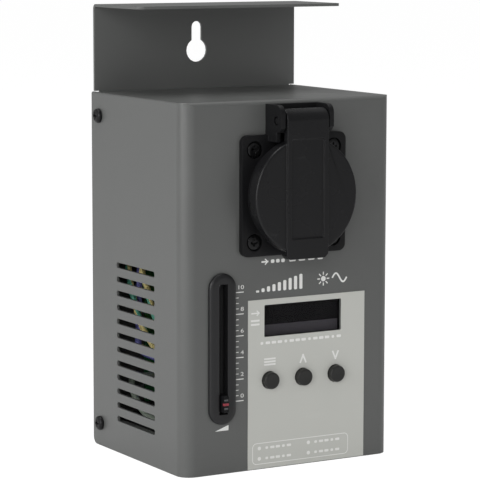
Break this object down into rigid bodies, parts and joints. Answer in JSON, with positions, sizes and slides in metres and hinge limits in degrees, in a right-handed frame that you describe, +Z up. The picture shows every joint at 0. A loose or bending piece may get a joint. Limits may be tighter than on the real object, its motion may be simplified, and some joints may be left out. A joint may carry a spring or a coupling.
{
  "type": "dimmer pack",
  "caption": "Wall-hung stage dimmer: sheet steel box with a hooded keyhole plate, lidded mains socket, display, push buttons and a long slide fader.",
  "frame": {"origin": "centre of the bounding box's bottom, on the plane of the cover's lower rim", "axes": "+Z up, +Y towards the wall that the back plate hangs on, +X to the right seen from the front"},
  "size_m": [0.105, 0.095, 0.1915],
  "materials": {
    "paint": "fine-textured dark grey powder coat",
    "black_steel": "blackened",
    "zinc": "zinc plated",
    "brass": "bright",
    "label_grey": "satin printed film",
    "black_plastic": "fine spark texture",
    "black_rubber": "matte",
    "dark_window": "smoked, glossy",
    "board_green": "solder mask",
    "beige_plastic": "moulded",
    "core_steel": "plain",
    "aluminium": "extruded",
    "ferrite": "matte",
    "copper": "enamelled",
    "yellow_plastic": "moulded",
    "blue_plastic": "dipped",
    "fuse_glass": "clear with metal ends",
    "earth_yellow": "green and yellow stripes",
    "neutral_blue": "satin",
    "live_brown": "satin",
    "lead_grey": "satin"
  },
  "bodies": {
    "root": {"front_cover": "paint", "back_plate": "paint", "bottom_panel": "paint", "cover_screw_1": "black_steel", "cover_screw_2": "black_steel", "cover_screw_3": "black_steel", "cover_screw_4": "black_steel", "front_label": "label_grey", "socket_body": "black_plastic", "contact_sleeve_left": "brass", "contact_sleeve_right": "brass", "earth_clip": "brass", "hinge_pin": "black_steel", "lid_spring": "zinc", "socket_screw_1": "black_steel", "socket_screw_2": "black_steel", "socket_screw_3": "black_steel", "socket_screw_4": "black_steel", "fader_bezel": "black_plastic", "fader_body": "core_steel", "display_window": "dark_window", "display_module": "dark_window", "tact_switch_1": "black_steel", "tact_switch_2": "black_steel", "tact_switch_3": "black_steel", "control_board": "board_green", "control_standoff_1": "zinc", "control_standoff_2": "zinc", "power_board": "board_green", "power_standoff_1": "zinc", "power_standoff_2": "zinc", "power_standoff_3": "zinc", "power_standoff_4": "zinc", "transformer": "core_steel", "heat_sink": "aluminium", "triac": "black_plastic", "choke_core": "ferrite", "choke_winding": "copper", "suppression_capacitor": "yellow_plastic", "filter_capacitor": "blue_plastic", "terminal_block": "beige_plastic", "dmx_in_connector": "black_plastic", "dmx_out_connector": "black_plastic", "fuse_holder": "black_plastic", "cable_bush": "black_rubber", "earth_bond_wire": "earth_yellow", "socket_earth_wire": "earth_yellow", "neutral_wire": "neutral_blue", "live_wire": "live_brown", "control_lead": "lead_grey"},
    "lid": {"socket_lid": "black_plastic", "lid_gasket": "black_rubber"},
    "menu_key": {"menu_button": "black_plastic"},
    "up_key": {"up_button": "black_plastic"},
    "down_key": {"down_button": "black_plastic"},
    "fader": {"fader_lever": "beige_plastic", "fader_knob": "black_plastic"},
    "fuse_link": {"fuse": "fuse_glass"},
    "fuse_carrier": {"fuse_cap": "black_plastic"},
    "latch": {"dmx_latch": "zinc"}
  },
  "joints": [
    {"name": "lid_hinge", "type": "hinge", "parent": "root", "child": "lid", "pos_m": [0.0007, -0.04263, 0.146], "axis": [-1, 0, 0], "range_deg": [0, 110], "stiffness_Nm_per_rad": 0.01, "springref_deg": -28.65},
    {"name": "menu_press", "type": "slide", "parent": "root", "child": "menu_key", "axis": [0, 1, 0], "range_m": [0, 0.0005], "stiffness_N_per_m": 800, "springref_m": -0.0005},
    {"name": "up_press", "type": "slide", "parent": "root", "child": "up_key", "axis": [0, 1, 0], "range_m": [0, 0.0005], "stiffness_N_per_m": 800, "springref_m": -0.0005},
    {"name": "down_press", "type": "slide", "parent": "root", "child": "down_key", "axis": [0, 1, 0], "range_m": [0, 0.0005], "stiffness_N_per_m": 800, "springref_m": -0.0005},
    {"name": "fader_travel", "type": "slide", "parent": "root", "child": "fader", "axis": [0, 0, 1], "range_m": [0, 0.045]},
    {"name": "fuse_draw", "type": "slide", "parent": "root", "child": "fuse_link", "axis": [0, 0, -1], "range_m": [0, 0.025]},
    {"name": "fuse_cap_turn", "type": "hinge", "parent": "fuse_link", "child": "fuse_carrier", "pos_m": [0.028, 0.02397, 0.012], "axis": [0, 0, 1], "range_deg": [0, 90]},
    {"name": "dmx_latch_press", "type": "slide", "parent": "root", "child": "latch", "axis": [0, 0, 1], "range_m": [0, 0.001], "stiffness_N_per_m": 800, "springref_m": -0.0005}
  ]
}
